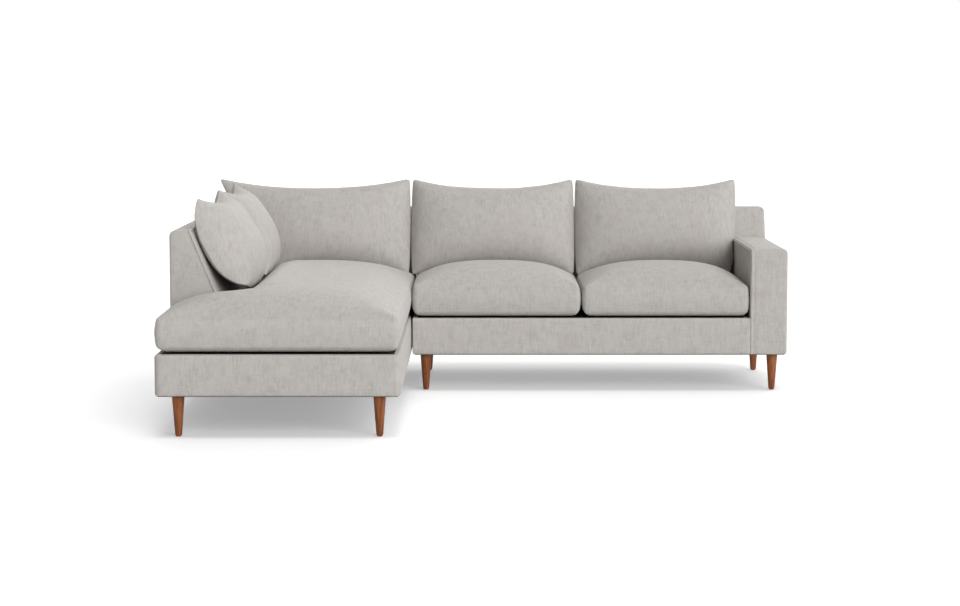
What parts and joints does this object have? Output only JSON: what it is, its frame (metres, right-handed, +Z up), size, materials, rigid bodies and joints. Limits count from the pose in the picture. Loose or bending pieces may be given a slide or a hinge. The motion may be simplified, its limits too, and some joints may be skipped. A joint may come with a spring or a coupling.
{
  "type": "bumper sectional sofa",
  "caption": "L-shaped upholstered sectional: a one-arm sofa hooked to a deep bumper chaise whose side back stops short of its open front, with loose cushions on tapered wooden legs.",
  "frame": {"origin": "on the floor, under the middle of the whole sectional's box", "axes": "+X to the right along the sofa as seen from its front, +Y towards the backs, +Z up"},
  "size_m": [2.42, 2.145, 0.8329],
  "materials": {
    "upholstery": "matte",
    "cushion_fabric": "matte",
    "leg_wood": "satin",
    "frame_wood": "matte",
    "spring_steel": "satin",
    "felt": "matte",
    "dust_cloth": "matte"
  },
  "bodies": {
    "bumper": {"bumper_back_cover": "upholstery", "bumper_back_rib_left": "frame_wood", "bumper_back_rib_right": "frame_wood", "bumper_back_sill": "frame_wood", "bumper_back_top_rail": "frame_wood", "bumper_base_cover": "upholstery", "bumper_clip": "spring_steel", "bumper_dust_cover": "dust_cloth", "bumper_front_rail": "frame_wood", "bumper_left_rail": "frame_wood", "bumper_leg_block_left": "frame_wood", "bumper_leg_block_right": "frame_wood", "bumper_leg_front_left": "leg_wood", "bumper_leg_front_right": "leg_wood", "bumper_leg_rear_left": "leg_wood", "bumper_leg_rear_right": "leg_wood", "bumper_pad": "felt", "bumper_rear_rail": "frame_wood", "bumper_right_rail": "frame_wood", "bumper_side_back_cover": "upholstery", "bumper_side_rail": "frame_wood", "bumper_side_rib_front": "frame_wood", "bumper_side_rib_rear": "frame_wood", "bumper_side_sill": "frame_wood", "bumper_side_top_rail": "frame_wood", "bumper_springs": "spring_steel", "bumper_step_rail": "frame_wood"},
    "sofa": {"sofa_arm_cover": "upholstery", "sofa_arm_front_post": "frame_wood", "sofa_arm_rear_post": "frame_wood", "sofa_arm_sill": "frame_wood", "sofa_arm_top_rail": "frame_wood", "sofa_back_cover": "upholstery", "sofa_back_rib_left": "frame_wood", "sofa_back_rib_middle": "frame_wood", "sofa_back_rib_right": "frame_wood", "sofa_back_sill": "frame_wood", "sofa_back_top_rail": "frame_wood", "sofa_base_cover": "upholstery", "sofa_clip": "spring_steel", "sofa_dust_cover": "dust_cloth", "sofa_front_rail": "frame_wood", "sofa_left_rail": "frame_wood", "sofa_leg_block": "frame_wood", "sofa_leg_front_left": "leg_wood", "sofa_leg_front_right": "leg_wood", "sofa_leg_rear_left": "leg_wood", "sofa_leg_rear_right": "leg_wood", "sofa_pad": "felt", "sofa_rear_rail": "frame_wood", "sofa_right_rail": "frame_wood", "sofa_springs": "spring_steel"},
    "bumper_back_cushion": {"bumper_back_cushion": "cushion_fabric"},
    "bumper_seat_cushion": {"bumper_seat_cushion": "cushion_fabric"},
    "bumper_side_cushion_front": {"bumper_side_cushion_front": "cushion_fabric"},
    "bumper_side_cushion_rear": {"bumper_side_cushion_rear": "cushion_fabric"},
    "sofa_back_cushion_left": {"sofa_back_cushion_left": "cushion_fabric"},
    "sofa_back_cushion_right": {"sofa_back_cushion_right": "cushion_fabric"},
    "sofa_seat_cushion_left": {"sofa_seat_cushion_left": "cushion_fabric"},
    "sofa_seat_cushion_right": {"sofa_seat_cushion_right": "cushion_fabric"}
  },
  "joints": [
    {"name": "sofa_unhook", "type": "slide", "parent": "bumper", "child": "sofa", "axis": [0, 0, 1], "range_m": [0, 0.05]},
    {"name": "bumper_seat_lift", "type": "slide", "parent": "bumper", "child": "bumper_seat_cushion", "axis": [0, 0, 1], "range_m": [0, 0.45]},
    {"name": "bumper_back_lift", "type": "slide", "parent": "bumper_seat_cushion", "child": "bumper_back_cushion", "axis": [0, 0, 1], "range_m": [0, 0.4]},
    {"name": "bumper_side_front_lift", "type": "slide", "parent": "bumper_seat_cushion", "child": "bumper_side_cushion_front", "axis": [0, 0, 1], "range_m": [0, 0.4]},
    {"name": "bumper_side_rear_lift", "type": "slide", "parent": "bumper_seat_cushion", "child": "bumper_side_cushion_rear", "axis": [0, 0, 1], "range_m": [0, 0.4]},
    {"name": "sofa_seat_left_lift", "type": "slide", "parent": "sofa", "child": "sofa_seat_cushion_left", "axis": [0, 0, 1], "range_m": [0, 0.45]},
    {"name": "sofa_seat_right_lift", "type": "slide", "parent": "sofa", "child": "sofa_seat_cushion_right", "axis": [0, 0, 1], "range_m": [0, 0.45]},
    {"name": "sofa_back_left_lift", "type": "slide", "parent": "sofa_seat_cushion_left", "child": "sofa_back_cushion_left", "axis": [0, 0, 1], "range_m": [0, 0.4]},
    {"name": "sofa_back_right_lift", "type": "slide", "parent": "sofa_seat_cushion_right", "child": "sofa_back_cushion_right", "axis": [0, 0, 1], "range_m": [0, 0.4]}
  ]
}
